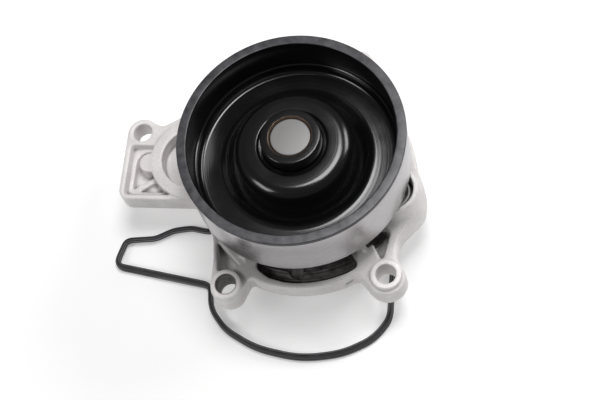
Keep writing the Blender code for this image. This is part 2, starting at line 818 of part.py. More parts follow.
def face_seal():
    """Stationary case, bellows, spring and carbon ring, running on a ceramic ring in a rubber boot."""
    sheet, gap = SEAL_SHEET, SEAT_GAP
    boot_low = disc_high + gap
    ring_low = boot_low + sheet + gap
    ring_high = ring_low + 1.2 * MM
    ring_inner = journal_radius + sheet + gap
    ring_outer = seal_bore_radius - 3.2 * MM
    boot = turned(
        "seal_ring_boot",
        [
            (journal_radius, boot_low),
            (journal_radius, ring_high),
            (journal_radius + sheet, ring_high),
            (journal_radius + sheet, boot_low + sheet),
            (ring_outer + gap, boot_low + sheet),
            (ring_outer + gap, ring_high - gap),
            (ring_outer + gap + sheet, ring_high - gap),
            (ring_outer + gap + sheet, boot_low),
        ],
        28,
    )
    paint(boot, (0.04, 0.04, 0.04), 0.0, 0.6)
    mating = turned(
        "seal_mating_ring",
        [(ring_inner, ring_low), (ring_inner, ring_high), (ring_outer, ring_high), (ring_outer, ring_low)],
        28,
    )
    paint(mating, (0.85, 0.83, 0.78), 0.0, 0.3)
    carbon_low = ring_high + gap
    carbon_high = carbon_low + CARBON_HEIGHT
    carbon = turned(
        "seal_carbon_ring",
        [
            (ring_inner + 0.6 * MM, carbon_low),
            (ring_inner + 0.6 * MM, carbon_high),
            (ring_outer - 0.6 * MM, carbon_high),
            (ring_outer - 0.6 * MM, carbon_low),
        ],
        28,
    )
    paint(carbon, (0.05, 0.05, 0.055), 0.1, 0.4)
    case_high = seal_high - gap
    case_outer = seal_bore_radius - gap
    tube = journal_radius + MM
    case = turned(
        "seal_case",
        [
            (tube, carbon_high + gap),
            (tube, case_high),
            (case_outer, case_high),
            (case_outer, seal_low + gap),
            (case_outer - sheet, seal_low + gap),
            (case_outer - sheet, case_high - sheet),
            (tube + sheet, case_high - sheet),
            (tube + sheet, carbon_high + gap),
        ],
        32,
    )
    paint(case, (0.65, 0.55, 0.3), 1.0, 0.35)
    bellows_inner = tube + sheet + gap
    spring_outer = case_outer - sheet - gap
    spring_radius = spring_outer - SPRING_WIRE / 2 - 0.1 * MM
    # the spring runs in straight stretches, whose middles come nearer to the axis
    bellows_outer = spring_radius * math.cos(math.pi / 12) - SPRING_WIRE / 2 - gap
    bellows = turned(
        "seal_bellows",
        [
            (bellows_inner, carbon_high + gap),
            (bellows_inner, case_high - sheet - gap),
            (bellows_outer, case_high - sheet - gap),
            (bellows_outer, case_high - sheet - gap - MM),
            (bellows_inner + MM, (carbon_high + case_high) / 2),
            (bellows_outer, carbon_high + gap + MM),
            (bellows_outer, carbon_high + gap),
        ],
        28,
    )
    paint(bellows, (0.03, 0.03, 0.03), 0.0, 0.65)

    low = carbon_high + gap + SPRING_WIRE / 2
    high = case_high - sheet - gap - SPRING_WIRE / 2
    count = math.ceil(12 * SPRING_TURNS)
    curve = bpy.data.curves.new("seal_spring", "CURVE")
    curve.dimensions = "3D"
    curve.bevel_depth = SPRING_WIRE / 2
    curve.bevel_resolution = 1
    curve.use_fill_caps = True
    spline = curve.splines.new("POLY")
    spline.points.add(count)
    points = []
    for i in range(count + 1):
        share = i / count
        x, y = polar(spring_radius, 360 * SPRING_TURNS * share)
        points += [x, y, low + (high - low) * share, 1]
    spline.points.foreach_set("co", points)
    spring = bpy.data.objects.new("seal_spring", curve)
    PARTS.objects.link(spring)
    paint(spring, (0.6, 0.6, 0.6), 1.0, 0.3)


def shaft_slinger():
    """A thin disc that throws leaked coolant off before it reaches the bearing."""
    low = seal_high + 0.7 * MM
    slinger = turned(
        "shaft_slinger",
        [
            (journal_radius, low),
            (journal_radius, low + SLINGER_SHEET),
            (drip_radius - RUNNING_GAP, low + SLINGER_SHEET),
            (drip_radius - RUNNING_GAP, low),
        ],
        28,
    )
    paint(slinger, (0.5, 0.5, 0.5), 1.0, 0.4)


def gasket():
    """The moulded rubber gasket, loose on the ground: its tab to the left, its bow in front of the pump."""
    corners = [
        (-89.2, -23.6, 3),
        (-74.7, -22.3, 7),
        (-66.3, -17.9, 9),
        (-57.5, -16.4, 9),
        (-48.0, -18.2, 7),
        (-37.0, -13.0, 8),
        (-29.0, 15.0, 20),
        (-12.0, 29.0, 24),
        (12.0, 29.0, 24),
        (29.5, 14.5, 24),
        (40.6, -20.0, 60),
        (40.7, -58.4, 12),
        (34.1, -68.1, 24),
        (20.4, -75.5, 40),
        (1.5, -78.8, 50),
        (-19.8, -74.8, 44),
        (-35.2, -66.6, 24),
        (-43.3, -56.6, 16),
        (-44.6, -45.3, 3.4),
        (-92.8, -36.8, 3.5),
    ]
    path = rounded([(x * MM, y * MM, r * MM) for x, y, r in corners], step=11)
    half = GASKET_WIDTH / 2
    seal = plate("gasket", [offset(path, half), offset(path, -half)], 0, GASKET_HEIGHT)
    return paint(seal, (0.03, 0.03, 0.03), 0.0, 0.5)


pump_housing()
pulley()
pulley_hub()
shaft()
shaft_bearing()
impeller()
face_seal()
shaft_slinger()
gasket()
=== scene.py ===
import math

import bmesh
import bpy
import numpy as np
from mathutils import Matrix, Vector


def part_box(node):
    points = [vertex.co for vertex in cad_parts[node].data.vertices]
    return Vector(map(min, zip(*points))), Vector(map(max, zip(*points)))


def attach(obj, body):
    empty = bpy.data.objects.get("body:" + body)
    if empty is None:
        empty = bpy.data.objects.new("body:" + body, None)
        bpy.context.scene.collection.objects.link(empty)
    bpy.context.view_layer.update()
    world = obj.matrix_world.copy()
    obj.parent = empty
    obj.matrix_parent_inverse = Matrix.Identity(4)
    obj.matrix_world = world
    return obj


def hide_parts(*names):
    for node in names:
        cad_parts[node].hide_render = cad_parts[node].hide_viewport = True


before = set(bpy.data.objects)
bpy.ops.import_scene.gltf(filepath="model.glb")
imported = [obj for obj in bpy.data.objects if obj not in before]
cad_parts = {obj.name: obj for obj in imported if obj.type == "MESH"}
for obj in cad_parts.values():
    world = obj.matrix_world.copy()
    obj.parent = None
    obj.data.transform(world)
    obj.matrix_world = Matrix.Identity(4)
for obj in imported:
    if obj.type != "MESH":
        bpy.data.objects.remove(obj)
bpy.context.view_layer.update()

import openvdb
from mathutils import Matrix, Vector

mm = 0.001


def nodeBox(name):
    # lowest and highest corner of a CAD node, in millimetres
    low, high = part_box(name)
    return np.array(low) / mm, np.array(high) / mm


housingLow, housingHigh = nodeBox("pump_housing")
pulleyLow, pulleyHigh = nodeBox("pulley")
hubLow, hubHigh = nodeBox("pulley_hub")
shaftHigh = nodeBox("shaft")[1]
ringLow, ringHigh = nodeBox("bearing_outer_ring")
wheelLow, wheelHigh = nodeBox("impeller")
rimZ = pulleyHigh[2]


def addPiece(name, points, faces, materials, body, nodes, faceMaterial=None):
    # points in millimetres; faces as an array of corner numbers
    mesh = bpy.data.meshes.new(name)
    mesh.from_pydata((np.asarray(points) * mm).tolist(), [], np.asarray(faces).tolist())
    for material in materials:
        mesh.materials.append(material)
    if faceMaterial is not None:
        mesh.polygons.foreach_set("material_index", np.asarray(faceMaterial, dtype=np.int32))
    piece = bpy.data.objects.new(name, mesh)
    bpy.context.scene.collection.objects.link(piece)
    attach(piece, body)
    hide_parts(*nodes)
    return piece


def smoothPiece(piece, angle=32):
    piece.data.shade_smooth()
    piece.data.set_sharp_from_angle(angle=math.radians(angle))
    return piece


def closePoles(piece):
    # corners that meet on the axis become one
    work = bmesh.new()
    work.from_mesh(piece.data)
    bmesh.ops.remove_doubles(work, verts=work.verts, dist=1e-7)
    work.to_mesh(piece.data)
    work.free()


def gridQuads(rows, columns, closeRows, closeColumns):
    # corner numbers of the quads between the rows and columns of a grid of points
    i = np.arange(rows if closeRows else rows - 1)[:, None]
    j = np.arange(columns if closeColumns else columns - 1)[None, :]
    nextI, nextJ = (i + 1) % rows, (j + 1) % columns
    corners = [i * columns + j, nextI * columns + j, nextI * columns + nextJ, i * columns + nextJ]
    return np.stack(np.broadcast_arrays(*corners), axis=-1).reshape(-1, 4)


def roundedLine(corners, step=12.0, closed=True):
    # a line through (x, y, radius) corners, each replaced by the arc that touches both of its sides
    line = []
    count = len(corners)
    for index, (x, y, radius) in enumerate(corners):
        here = Vector((x, y))
        if radius == 0 or (not closed and index in (0, count - 1)):
            line.append((x, y))
            continue
        back = Vector(corners[index - 1][:2]) - here
        ahead = Vector(corners[(index + 1) % count][:2]) - here
        half = back.angle(ahead) / 2
        reach = min(radius / math.tan(half), 0.49 * back.length, 0.49 * ahead.length)
        radius = reach * math.tan(half)
        middle = here + (back.normalized() + ahead.normalized()).normalized() * (radius / math.sin(half))
        first = here + back.normalized() * reach - middle
        turn = math.pi - 2 * half
        if back.cross(ahead) > 0:
            turn = -turn
        steps = max(1, math.ceil(abs(math.degrees(turn)) / step))
        angles = math.atan2(first.y, first.x) + turn * np.arange(steps + 1) / steps
        line += [(middle.x + radius * math.cos(a), middle.y + radius * math.sin(a)) for a in angles]
    return np.array(line)


def polar(radius, degrees):
    return radius * math.cos(math.radians(degrees)), radius * math.sin(math.radians(degrees))


def arcCorners(centre, radius, start, end, step=4.0):
    # corners along a circle, from start to end in degrees
    angles = np.linspace(start, end, max(2, math.ceil(abs(end - start) / step)) + 1)
    return [(centre[0] + x, centre[1] + y, 0) for x, y in (polar(radius, a) for a in angles)]


def turnedPiece(name, corners, steps, materials, body, nodes, pick=None, step=12.0):
    # point (i, j) is profile point j turned by i steps about the axis: (r cos a, r sin a, z)
    line = roundedLine(corners, step)
    area = np.sum(line[:, 0] * np.roll(line[:, 1], -1) - np.roll(line[:, 0], -1) * line[:, 1])
    if area < 0:
        line = line[::-1]
    turn = 2 * np.pi * np.arange(steps)[:, None] / steps
    points = np.stack(
        np.broadcast_arrays(line[None, :, 0] * np.cos(turn), line[None, :, 0] * np.sin(turn), line[None, :, 1]),
        axis=-1,
    ).reshape(-1, 3)
    faces = gridQuads(steps, len(line), True, True)
    faceMaterial = None
    if pick is not None:
        middle = (line + np.roll(line, -1, axis=0)) / 2
        faceMaterial = np.broadcast_to(pick(middle[:, 0], middle[:, 1]), (steps, len(line))).reshape(-1)
    piece = addPiece(name, points, faces, materials, body, nodes, faceMaterial)
    if line[:, 0].min() < 1e-6:
        closePoles(piece)
    return smoothPiece(piece)


# The castings are distance fields: below zero is inside, and the surface is where the field is zero.


class Block:
    # a box of cells with a point in the middle of each, in millimetres
    def __init__(self, low, high, cell):
        self.cell = cell
        self.low = np.array(low, dtype=np.float32)
        counts = np.ceil((np.array(high) - self.low) / cell).astype(int) + 1
        sides = [self.low[i] + cell * np.arange(counts[i], dtype=np.float32) for i in range(3)]
        self.x, self.y, self.z = np.ix_(*sides)
        self.radius = np.hypot(self.x, self.y)


def toLine(block, points, closed=True):
    # distance in plan to the nearest stretch of a line, and how many stretches lie to the right of a point
    start = np.asarray(points, dtype=np.float32)
    end = np.roll(start, -1, axis=0)
    if not closed:
        start, end = start[:-1], end[:-1]
    x, y = block.x[..., 0, None], block.y[..., 0, None]
    alongX, alongY = (end - start).T
    share = ((x - start[:, 0]) * alongX + (y - start[:, 1]) * alongY) / (alongX**2 + alongY**2 + 1e-9)
    share = np.clip(share, 0, 1)
    distance = np.hypot(x - start[:, 0] - share * alongX, y - start[:, 1] - share * alongY).min(axis=-1)
    crosses = (start[:, 1] > y) != (end[:, 1] > y)
    crossX = start[:, 0] + (y - start[:, 1]) * alongX / np.where(alongY == 0, 1e-9, alongY)
    return distance[..., None], np.sum(crosses & (x < crossX), axis=-1)[..., None]


def outlineField(block, points):
    distance, crossings = toLine(block, points)
    return np.where(crossings % 2 == 1, -distance, distance).astype(np.float32)


def discField(block, centre, radius):
    return np.hypot(block.x - centre[0], block.y - centre[1]) - radius


def raised(block, plan, low, high, edge=0.4, draft=0.0):
    # a plan shape between two heights with rounded edges; draft widens it downwards
    side = plan + draft * (block.z - high) + edge
    upright = np.abs(block.z - (low + high) / 2) - (high - low) / 2 + edge
    inside = np.minimum(np.maximum(side, upright), 0)
    return (inside + np.hypot(np.maximum(side, 0), np.maximum(upright, 0)) - edge).astype(np.float32)


def sloped(block, plan, low, high, slope, edge=0.3):
    # a cutter whose walls lean: the plan shape at the upper height, smaller by slope times depth below it
    over = high + 16
    return raised(block, plan - slope * (over - high), low, over, edge, -slope)


def blend(first, second, fillet):
    # union with a fillet: the smaller distance, lowered where the two are nearly the same
    near = np.clip(fillet - np.abs(first - second), 0, None) / max(fillet, 1e-6)
    return np.minimum(first, second) - near**2 * fillet / 4


def carve(solid, cutter, fillet=0.3):
    return -blend(-solid, cutter, fillet)


def shelterOf(block, field, points, reach=2.4):
    # share of metal in a box round each point: a half on a flat face, more in a corner, less on an edge
    share = (field < 0).astype(np.float32)
    steps = round(reach / block.cell)
    for axis in range(3):
        edges = [(0, 0)] * 3
        edges[axis] = (steps + 1, steps)
        total = np.moveaxis(np.cumsum(np.pad(share, edges), axis=axis), axis, 0)
        width = 2 * steps + 1
        share = np.moveaxis((total[width:] - total[:-width]) / width, 0, axis)
    place = (points - block.low) / block.cell
    corner = np.floor(place).astype(int)
    part = place - corner
    found = np.zeros(len(points), dtype=np.float32)
    for offset in np.ndindex(2, 2, 2):
        weight = np.prod(np.where(offset, part, 1 - part), axis=1)
        x, y, z = np.clip(corner + offset, 0, np.array(share.shape) - 1).T
        found += weight * share[x, y, z]
    return found


def fieldPiece(name, block, field, material, body, nodes, adaptivity=0.004):
    # the surface where the field crosses zero, as quads
    grid = openvdb.FloatGrid(3.0)
    grid.copyFromArray(np.clip(field, -3, 3).astype(np.float32))
    points, triangles, quads = grid.convertToPolygons(0.0, adaptivity=adaptivity)
    points = np.asarray(points) * block.cell + block.low
    faces = np.asarray(quads)[:, ::-1].tolist() + np.asarray(triangles)[:, ::-1].tolist()
    mesh = bpy.data.meshes.new(name)
    mesh.from_pydata((points * mm).tolist(), [], faces)
    mesh.materials.append(material)
    shelter = mesh.attributes.new("shelter", "FLOAT", "POINT")
    shelter.data.foreach_set("value", shelterOf(block, field, points))
    piece = bpy.data.objects.new(name, mesh)
    bpy.context.scene.collection.objects.link(piece)
    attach(piece, body)
    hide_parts(*nodes)
    mesh.shade_smooth()
    return piece


def newMaterial(name, **values):
    material = bpy.data.materials.new(name)
    material.use_nodes = True
    shader = material.node_tree.nodes["Principled BSDF"]
    for socket, value in values.items():
        shader.inputs[socket.replace("_", " ")].default_value = value
    return material, shader


def addNode(material, kind, inputs=None, **settings):
    node = material.node_tree.nodes.new(kind)
    for key, value in settings.items():
        setattr(node, key, value)
    for key, value in (inputs or {}).items():
        if isinstance(value, bpy.types.NodeSocket):
            material.node_tree.links.new(value, node.inputs[key])
        else:
            node.inputs[key].default_value = value
    return node


def link(material, source, target):
    material.node_tree.links.new(source, target)


def placeOf(material):
    return addNode(material, "ShaderNodeTexCoord").outputs["Object"]


def noiseOf(material, scale, detail=3.0, roughness=0.55):
    return addNode(
        material, "ShaderNodeTexNoise",
        {"Vector": placeOf(material), "Scale": scale, "Detail": detail, "Roughness": roughness},
    ).outputs["Fac"]


def linesOf(material, value, scale, detail):
    # noise that changes with one value only, which gives lines or rings
    return addNode(
        material, "ShaderNodeTexNoise", {"W": value, "Scale": scale, "Detail": detail}, noise_dimensions="1D"
    ).outputs["Fac"]


def fromAxis(material, place):
    # the place flattened onto the ground, and its distance from the shaft's axis
    flat = addNode(
        material, "ShaderNodeVectorMath", {0: place, 1: (1, 1, 0)}, operation="MULTIPLY"
    ).outputs["Vector"]
    reach = addNode(material, "ShaderNodeVectorMath", {0: flat}, operation="LENGTH").outputs["Value"]
    return flat, reach


def spread(material, value, low, high, fromLow=0.3, fromHigh=0.7):
    # stretches a value from one range onto another
    return addNode(
        material, "ShaderNodeMapRange",
        {"Value": value, "From Min": fromLow, "From Max": fromHigh, "To Min": low, "To Max": high},
    ).outputs["Result"]


def mixColours(material, share, first, second):
    node = addNode(material, "ShaderNodeMix", data_type="RGBA")
    link(material, share, node.inputs["Factor"])
    node.inputs["A"].default_value = (*first, 1)
    node.inputs["B"].default_value = (*second, 1)
    return node.outputs["Result"]


def bumpOf(material, shader, height, strength, distance, after=None):
    inputs = {"Height": height, "Strength": strength, "Distance": distance}
    if after is not None:
        inputs["Normal"] = after
    normal = addNode(material, "ShaderNodeBump", inputs).outputs["Normal"]
    link(material, normal, shader.inputs["Normal"])
    return normal


def ramp(material, value, low, high):
    # 0 at low, 1 at high, with a soft start and end
    return addNode(
        material, "ShaderNodeMapRange", {"Value": value, "From Min": low, "From Max": high},
        interpolation_type="SMOOTHSTEP",
    ).outputs["Result"]


def combine(material, operation, first, second):
    return addNode(material, "ShaderNodeMath", {0: first, 1: second}, operation=operation).outputs["Value"]


castLook = {
    "bright": (0.78, 0.752, 0.745),
    "dull": (0.66, 0.634, 0.627),
    # the colour of the painted shade in the hollows under the pulley and in the left bolt hole
    "paintedShade": (0.045, 0.038, 0.036),
    "metallic": 0.12,
    "grainScale": 1500,
    "grainDepth": 0.00012,
    "cornerShade": 0.6,  # how much darker the deepest corner is
    "edgeWear": 0.1,  # how much brighter a sharp edge is
    "shadeFloor": 0.0203,  # heights between which the painted shade lies, in metres
    "shadeTop": 0.0276,
    "shadeReach": 0.0472,  # its distance from the axis, and how much further it goes in the front trough
    "troughReach": 0.0048,
    "neckReach": 0.030,
    "boltShade": 0.0052,  # radius of the painted shade in the left bolt hole
}


def castAluminium():
    # die-cast skin: a sandy grain over a slow mottle, with painted shade darkening its corners, and a dark
    # painted shade in the hollows under the pulley and in the left bolt hole
    material, shader = newMaterial("castAluminium", Metallic=castLook["metallic"])
    place = placeOf(material)
    across, along, height = addNode(material, "ShaderNodeSeparateXYZ", {"Vector": place}).outputs
    flat, reach = fromAxis(material, place)
    mottle = noiseOf(material, 70, 4)
    grain = noiseOf(material, castLook["grainScale"], 3, roughness=0.7)
    tint = mixColours(material, spread(material, mottle, 0, 1), castLook["dull"], castLook["bright"])
    # painted shade: the colour is darkened where the shelter share puts a point in a corner or hollow
    shelter = addNode(material, "ShaderNodeAttribute", attribute_name="shelter").outputs["Fac"]
    shade = combine(material, "MULTIPLY", ramp(material, shelter, 0.56, 0.80), castLook["cornerShade"])
    worn = combine(material, "MULTIPLY", ramp(material, shelter, 0.42, 0.28), castLook["edgeWear"])
    clear = combine(material, "SUBTRACT", combine(material, "ADD", 1.0, worn), shade)
    speckle = combine(material, "MULTIPLY", spread(material, grain, 0.88, 1.1), clear)
    tint = addNode(
        material, "ShaderNodeVectorMath", {0: tint, 1: speckle}, operation="MULTIPLY"
    ).outputs["Vector"]

    # the painted shade: in the hollows at pocket height and round the neck, further out in the trough, none on
    # the arm, and in the left bolt hole
    low, high = castLook["shadeFloor"], castLook["shadeTop"]
    below, above = ramp(material, height, high, high - 0.001), ramp(material, height, low, low + 0.0008)
    hollow = combine(material, "MULTIPLY", below, above)
    neck = ramp(material, reach, castLook["neckReach"], castLook["neckReach"] - 0.0025)
    inFront = combine(
        material, "MULTIPLY", ramp(material, along, -0.0285, -0.0305), ramp(material, across, 0.0305, 0.0290)
    )
    inFront = combine(material, "MULTIPLY", inFront, ramp(material, across, -0.0225, -0.0212))
    further = combine(material, "MULTIPLY", inFront, castLook["troughReach"])
    edge = combine(material, "SUBTRACT", reach, combine(material, "ADD", further, castLook["shadeReach"]))
    under = combine(
        material, "MULTIPLY", combine(material, "MAXIMUM", hollow, neck), ramp(material, edge, 0.0004, -0.0002)
    )
    under = combine(material, "MULTIPLY", under, ramp(material, across, -0.0385, -0.0370))
    boltX, boltY = polar(casting["boltCircle"] * mm, casting["lugAngles"][0])
    bolt = addNode(
        material, "ShaderNodeVectorMath", {0: flat, 1: (boltX, boltY, 0)}, operation="DISTANCE"
    ).outputs["Value"]
    inBolt = ramp(material, bolt, castLook["boltShade"], castLook["boltShade"] - 0.0006)
    under = combine(material, "MAXIMUM", under, inBolt)
    streak = spread(material, noiseOf(material, 260, 5), 0.72, 1.0)
    # mixes the painted shade, a little streaked, into the casting's colour
    paintedShade = addNode(material, "ShaderNodeMix", data_type="RGBA")
    link(material, combine(material, "MULTIPLY", under, streak), paintedShade.inputs["Factor"])
    link(material, tint, paintedShade.inputs["A"])
    paintedShade.inputs["B"].default_value = (*castLook["paintedShade"], 1)
    link(material, paintedShade.outputs["Result"], shader.inputs["Base Color"])
    link(material, spread(material, mottle, 0.58, 0.44), shader.inputs["Roughness"])
    skin = bumpOf(material, shader, noiseOf(material, 420, 2), 0.3, 0.00015)
    bumpOf(material, shader, grain, 0.7, castLook["grainDepth"], skin)
    return material


coatLook = {
    "colour": (0.0045, 0.0045, 0.005),
    "dust": (0.09, 0.09, 0.09),
    "speckScale": 700,
    "peelScale": 500,
    "markScale": 900,
    "markDepth": 0.000035,
}


def blackCoat():
    # gloss black paint with a faint orange peel and a few specks of dust
    material, shader = newMaterial("blackCoat", Metallic=0.0, Specular_IOR_Level=0.5)
    place = placeOf(material)
    cells = addNode(material, "ShaderNodeTexVoronoi", {"Vector": place, "Scale": coatLook["speckScale"]})
    chosen = combine(material, "GREATER_THAN", cells.outputs["Color"], 0.985)
    small = combine(material, "LESS_THAN", cells.outputs["Distance"], 0.16)
    speck = combine(material, "MULTIPLY", chosen, small)
    tint = mixColours(material, speck, coatLook["colour"], coatLook["dust"])
    link(material, tint, shader.inputs["Base Color"])
    link(material, spread(material, noiseOf(material, 40, 4), 0.13, 0.22), shader.inputs["Roughness"])
    marks = linesOf(material, fromAxis(material, place)[1], coatLook["markScale"], 2.0)
    rings = bumpOf(material, shader, marks, 0.5, coatLook["markDepth"])
    bumpOf(material, shader, noiseOf(material, coatLook["peelScale"], 2), 0.12, 0.00003, rings)
    return material


def rimCoat():
    # the same paint where it wraps the rim, rubbed duller
    material, shader = newMaterial("rimCoat", Metallic=0.0)
    link(material, spread(material, noiseOf(material, 160, 5), 0.28, 0.4), shader.inputs["Roughness"])
    blotch = spread(material, noiseOf(material, 230, 6), 0, 1)
    tint = mixColours(material, blotch, (0.012, 0.0115, 0.014), (0.07, 0.068, 0.078))
    link(material, tint, shader.inputs["Base Color"])
    bumpOf(material, shader, noiseOf(material, 700, 3), 0.2, 0.00003)
    return material


def groundSteel(name, colour, rough, lines=2500):
    # ground on a lathe: fine lines that run round the axis, so they change with height only
    material, shader = newMaterial(name, Metallic=1.0, Base_Color=(*colour, 1))
    height = addNode(material, "ShaderNodeSeparateXYZ", {"Vector": placeOf(material)}).outputs["Z"]
    line = linesOf(material, height, lines, 3.0)
    link(material, spread(material, line, rough * 0.8, rough * 1.3), shader.inputs["Roughness"])
    bumpOf(material, shader, line, 0.04, 0.00002)
    return material


def facedSteel(name, colour, rough, metallic, lines=3000):
    # faced on a lathe: fine rings round the axis, so they change with the distance from it
    material, shader = newMaterial(name, Metallic=metallic, Base_Color=(*colour, 1))
    line = linesOf(material, fromAxis(material, placeOf(material))[1], lines, 3.0)
    link(material, spread(material, line, rough * 0.85, rough * 1.2), shader.inputs["Roughness"])
    bumpOf(material, shader, line, 0.06, 0.00002)
    return material


def mouldedRubber(name, dark, light):
    # black rubber with a dull bloom
    material, shader = newMaterial(name, Metallic=0.0, Specular_IOR_Level=0.45)
    bloom = noiseOf(material, 180, 4)
    tint = mixColours(material, spread(material, bloom, 0, 1), dark, light)
    link(material, tint, shader.inputs["Base Color"])
    link(material, spread(material, bloom, 0.34, 0.46), shader.inputs["Roughness"])
    bumpOf(material, shader, noiseOf(material, 1500, 3), 0.25, 0.00004)
    return material


def plainPlastic(name, colour, rough):
    material, shader = newMaterial(name, Metallic=0.0, Base_Color=(*colour, 1))
    patches = spread(material, noiseOf(material, 300, 4), rough * 0.85, rough * 1.15)
    link(material, patches, shader.inputs["Roughness"])
    bumpOf(material, shader, noiseOf(material, 1800, 3), 0.2, 0.00003)
    return material


def plainMetal(name, colour, rough):
    material, shader = newMaterial(name, Metallic=1.0, Base_Color=(*colour, 1))
    patches = spread(material, noiseOf(material, 500, 4), rough * 0.8, rough * 1.25)
    link(material, patches, shader.inputs["Roughness"])
    return material


coat = blackCoat()
rim = rimCoat()
beltWall = groundSteel("beltWallSteel", (0.36, 0.345, 0.353), 0.24)
shaftSteel = facedSteel("shaftSteel", (0.2, 0.197, 0.195), 0.42, 0.45)
boreEdge = plainMetal("boreEdge", (0.22, 0.16, 0.12), 0.35)
polished = plainMetal("polishedSteel", (0.62, 0.62, 0.64), 0.12)
rubber = mouldedRubber("mouldedRubber", (0.009, 0.0085, 0.0095), (0.022, 0.021, 0.024))
# a lighter copy of the gasket rubber for its ribs and crest: a painted highlight
ribHighlight = mouldedRubber("ribHighlightRubber", (0.05, 0.047, 0.053), (0.1, 0.096, 0.106))
cagePlastic = plainPlastic("cagePlastic", (0.62, 0.58, 0.45), 0.45)
wheelPlastic = plainPlastic("wheelPlastic", (0.018, 0.018, 0.019), 0.42)
brass = plainMetal("drawnBrass", (0.72, 0.55, 0.26), 0.25)
springSteel = plainMetal("springSteel", (0.55, 0.55, 0.56), 0.22)
carbon = plainPlastic("carbon", (0.02, 0.02, 0.021), 0.3)
ceramic = plainPlastic("ceramic", (0.78, 0.76, 0.7), 0.22)
print("materials made")

casting = {
    "mountZ": 17.0,  # mounting face
    "topZ": 28.0,  # flange's top
    "lugZ": 30.5,
    "pocketZ": 22.0,
    "flangeRadius": 54.0,
    "frontWall": 2.0,
    "boltCircle": 62.0,
    "lugAngles": (-119.5, -49.2, 70.0, 127.0),
    "lugRadius": 7.5,
    "holeRadius": 4.5,
    "ear": (-80.4, 22.0),
    "earRadius": 7.3,
    "armLow": -12.5,
    "ledgeDepth": 2.8,
    "windowDepth": 5.4,
    "armBoss": (-53.6, 8.6),
    "armBossRadius": 20.5,
    "armRecessRadius": 14.9,
    "sideBoss": (41.2, -8.8),
    "sideBossRadius": 11.8,
    "sideRecessRadius": 9.7,
    "neckRadius": 22.0,
    "neckFoot": 26.5,
    "grooveRadius": 46.0,
    "bossRaise": 1.5,
    "bumpRadius": 4.9,
    "beltRoom": 4.2,  # from the side boss up to the pulley
    "sideRecessDepth": 10.0,
    "drip": 14.6,  # radius of the bore between bearing and seal
    "sealBore": 17.0,
    "grooveDepth": 3.0,
    "cell": 0.55,
}


def flangeOutline(c):
    # counter-clockwise from the ear: arm, left lug, front wall, right lug, side bulge, rear lugs
    left, right, rearRight, rearLeft = c["lugAngles"]
    leftX, leftY = polar(c["boltCircle"], left)
    rightX, rightY = polar(c["boltCircle"], right)
    earX, earY = c["ear"]
    bossX, bossY = c["sideBoss"]
    side, neck, radius = c["flangeRadius"] - 3.7, c["flangeRadius"] - 0.6, c["flangeRadius"]
    lug = c["lugRadius"]
    return roundedLine(
        arcCorners((earX, earY), c["earRadius"], 55, 180)
        + [
            (earX - c["earRadius"], c["armLow"], 5),
            (-side, c["armLow"], 4),
            (*polar(side, left - 38), 12),
            (*polar(side - 0.4, left - 22.8), 14),
            (leftX - lug - 0.2, leftY + 12, 14),
        ]
        + arcCorners((leftX, leftY), lug, 180, 325)
        + [(*polar(neck, left + 6.5), 4)]
        + arcCorners((0, 0), radius, left + 12, right - 16.5)
        + [(*polar(neck, right - 9.5), 4)]
        + arcCorners((rightX, rightY), lug + 1.2, 225, 365)
        + [
            (rightX + 3.8, rightY + 9.2, 5),
            (rightX + 3.9, rightY + 16.6, 7),
            (bossX + 13.7, bossY - 6.7, 6),
            (bossX + 12.7, bossY + 4, 12),
        ]
        + arcCorners((0, 0), radius - 2.4, 5, rearRight - 16)
        + [(*polar(neck - 1.5, rearRight - 9.5), 4)]
        + arcCorners(polar(c["boltCircle"], rearRight), lug, rearRight - 85, rearRight + 85)
        + [(*polar(neck, rearRight + 9.5), 4)]
        + arcCorners((0, 0), radius, rearRight + 15, rearLeft - 15)
        + [(*polar(neck, rearLeft - 9.5), 4)]
        + arcCorners(polar(c["boltCircle"], rearLeft), lug, rearLeft - 85, rearLeft + 85)
        + [
            (*polar(neck, rearLeft + 9.5), 4),
            (earX + 25.4, earY + 13, 12),
            (earX + 17.9, earY + 8.5, 8),
            (earX + 9.4, earY + 3.2, 6),
        ],
        8,
    )


def ringSector(inner, outer, start, end):
    # part of a ring, as an outline
    corners = arcCorners((0, 0), outer, start, end) + arcCorners((0, 0), inner, end, start)
    return np.array([corner[:2] for corner in corners])


